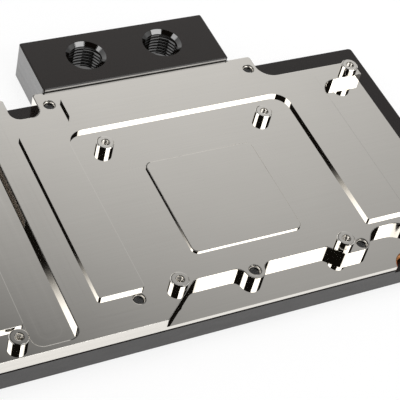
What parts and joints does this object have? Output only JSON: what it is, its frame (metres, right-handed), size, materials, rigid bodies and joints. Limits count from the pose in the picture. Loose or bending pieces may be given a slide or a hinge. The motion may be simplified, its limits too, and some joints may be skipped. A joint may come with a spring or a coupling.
{
  "type": "liquid cooling cold plate",
  "caption": "Flat liquid cooling cold plate with a stepped, plated contact face, raised pads, board standoffs and a side block with two threaded ports.",
  "frame": {"origin": "middle of the raised face that the chip presses on", "axes": "+X along the plate towards the end with the low bay, +Y towards the terminal block, +Z out of the contact side"},
  "size_m": [0.2405, 0.1219, 0.0162],
  "materials": {
    "nickel_plating": "bright plated, fine milling marks",
    "plated_hardware": "bright plated, turned",
    "acetal": "satin, machined",
    "stainless_steel": "satin",
    "blackened_steel": "blackened, satin",
    "seal_rubber": "matte"
  },
  "bodies": {
    "root": {"cold_plate": "nickel_plating", "cover": "acetal", "terminal_block": "acetal", "jet_plate": "stainless_steel", "main_seal": "seal_rubber", "outlet_seal": "seal_rubber", "inlet_seal": "seal_rubber", "standoff_1": "plated_hardware", "standoff_2": "plated_hardware", "standoff_3": "plated_hardware", "standoff_4": "plated_hardware", "standoff_5": "plated_hardware", "standoff_6": "plated_hardware", "standoff_7": "plated_hardware", "standoff_8": "plated_hardware", "cover_screw_01": "blackened_steel", "cover_screw_02": "blackened_steel", "cover_screw_03": "blackened_steel", "cover_screw_04": "blackened_steel", "cover_screw_05": "blackened_steel", "cover_screw_06": "blackened_steel", "cover_screw_07": "blackened_steel", "cover_screw_08": "blackened_steel", "cover_screw_09": "blackened_steel", "cover_screw_10": "blackened_steel", "cover_screw_11": "blackened_steel", "terminal_screw_1": "blackened_steel", "terminal_screw_2": "blackened_steel", "terminal_screw_3": "blackened_steel"}
  },
  "joints": []
}
